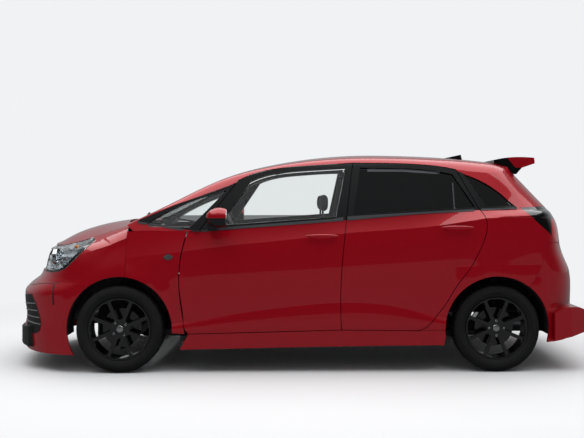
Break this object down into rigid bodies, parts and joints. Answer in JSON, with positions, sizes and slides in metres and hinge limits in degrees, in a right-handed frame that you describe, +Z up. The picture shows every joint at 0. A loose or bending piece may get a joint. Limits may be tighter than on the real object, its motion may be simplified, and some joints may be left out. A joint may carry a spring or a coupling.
{
  "type": "hatchback car",
  "caption": "Compact hatchback car with hinged doors, bonnet and tailgate, steered front wheels and free-rolling wheels",
  "frame": {"origin": "on the ground, under the middle of the car's length and width", "axes": "+X towards the tail, +Y towards the car's right side, +Z up"},
  "size_m": [4.074, 1.934, 1.503],
  "materials": {
    "paint": "gloss crimson",
    "glass": "clear",
    "tyre": "matt",
    "wheel_metal": "gloss black",
    "lamp_clear": "clear",
    "lamp_red": "gloss",
    "cast_metal": "as cast",
    "underbody_steel": "satin",
    "seat_fabric": "woven",
    "black_plastic": "grained"
  },
  "bodies": {
    "body": {"aerial_fin": "black_plastic", "body_side_left": "paint", "body_side_right": "paint", "cowl": "black_plastic", "dashboard": "black_plastic", "door_seals": "paint", "engine_block": "cast_metal", "exhaust": "cast_metal", "floor_pan": "underbody_steel", "front_brackets": "underbody_steel", "front_bumper": "paint", "front_frame": "underbody_steel", "front_grille": "black_plastic", "front_lip": "black_plastic", "front_seats": "seat_fabric", "front_suspension": "cast_metal", "front_wings": "paint", "headlamps": "lamp_clear", "quarter_windows": "glass", "rear_axle": "cast_metal", "rear_bumper": "paint", "rear_lip": "paint", "rear_panel": "underbody_steel", "rear_seat": "seat_fabric", "roof": "paint", "side_skirts": "paint", "tail_lamps": "lamp_red", "wheel_housings": "black_plastic", "windscreen": "glass"},
    "door_front_left": {"door_front_left": "paint", "window_front_left": "glass", "mirror_left": "paint", "handle_front_left": "paint"},
    "door_front_right": {"door_front_right": "paint", "window_front_right": "glass", "mirror_right": "paint", "handle_front_right": "paint"},
    "door_rear_left": {"door_rear_left": "paint", "window_rear_left": "glass", "handle_rear_left": "paint"},
    "door_rear_right": {"door_rear_right": "paint", "window_rear_right": "glass", "handle_rear_right": "paint"},
    "tailgate": {"tailgate": "paint", "tailgate_window": "glass", "roof_spoiler": "paint"},
    "bonnet": {"bonnet": "paint"},
    "steering_wheel": {"steering_wheel": "black_plastic"},
    "knuckle_left": {"knuckle_left": "cast_metal"},
    "knuckle_right": {"knuckle_right": "cast_metal"},
    "wheel_front_left": {"rim_front_left": "wheel_metal", "tyre_front_left": "tyre"},
    "wheel_front_right": {"rim_front_right": "wheel_metal", "tyre_front_right": "tyre"},
    "wheel_rear_left": {"rim_rear_left": "wheel_metal", "tyre_rear_left": "tyre"},
    "wheel_rear_right": {"rim_rear_right": "wheel_metal", "tyre_rear_right": "tyre"}
  },
  "joints": [
    {"name": "steer_left", "type": "hinge", "parent": "body", "child": "knuckle_left", "pos_m": [-1.18, -0.69, 0.292], "axis": [0, 0, 1], "range_deg": [-34, 34]},
    {"name": "steer_right", "type": "hinge", "parent": "body", "child": "knuckle_right", "pos_m": [-1.18, 0.69, 0.292], "axis": [0, 0, 1], "range_deg": [-34, 34]},
    {"name": "steering_wheel_turn", "type": "hinge", "parent": "body", "child": "steering_wheel", "pos_m": [-0.48, 0.36, 0.9], "axis": [0.9135, 0, 0.4067], "range_deg": [-544, 544]},
    {"name": "wheel_front_left_spin", "type": "hinge", "parent": "knuckle_left", "child": "wheel_front_left", "pos_m": [-1.18, -0.742, 0.292], "axis": [0, 1, 0], "continuous": true},
    {"name": "wheel_front_right_spin", "type": "hinge", "parent": "knuckle_right", "child": "wheel_front_right", "pos_m": [-1.18, 0.742, 0.292], "axis": [0, 1, 0], "continuous": true},
    {"name": "wheel_rear_left_spin", "type": "hinge", "parent": "body", "child": "wheel_rear_left", "pos_m": [1.35, -0.737, 0.292], "axis": [0, 1, 0], "continuous": true},
    {"name": "wheel_rear_right_spin", "type": "hinge", "parent": "body", "child": "wheel_rear_right", "pos_m": [1.35, 0.737, 0.292], "axis": [0, 1, 0], "continuous": true},
    {"name": "door_front_left_hinge", "type": "hinge", "parent": "body", "child": "door_front_left", "pos_m": [-0.777, -0.844, 0.6], "axis": [0, 0, -1], "range_deg": [0, 66]},
    {"name": "door_front_right_hinge", "type": "hinge", "parent": "body", "child": "door_front_right", "pos_m": [-0.777, 0.844, 0.6], "axis": [0, 0, 1], "range_deg": [0, 66]},
    {"name": "door_rear_left_hinge", "type": "hinge", "parent": "body", "child": "door_rear_left", "pos_m": [0.296, -0.847, 0.6], "axis": [0, 0, -1], "range_deg": [0, 66]},
    {"name": "door_rear_right_hinge", "type": "hinge", "parent": "body", "child": "door_rear_right", "pos_m": [0.296, 0.847, 0.6], "axis": [0, 0, 1], "range_deg": [0, 66]},
    {"name": "tailgate_hinge", "type": "hinge", "parent": "body", "child": "tailgate", "pos_m": [1.39, 0, 1.446], "axis": [0, -1, 0], "range_deg": [0, 78]},
    {"name": "bonnet_hinge", "type": "hinge", "parent": "body", "child": "bonnet", "pos_m": [-1.124, 0, 1.016], "axis": [0, 1, 0], "range_deg": [0, 48]}
  ],
  "couplings": [
    {"joint": "steer_right", "follows": "steer_left", "ratio": 1},
    {"joint": "steering_wheel_turn", "follows": "steer_left", "ratio": 16}
  ]
}
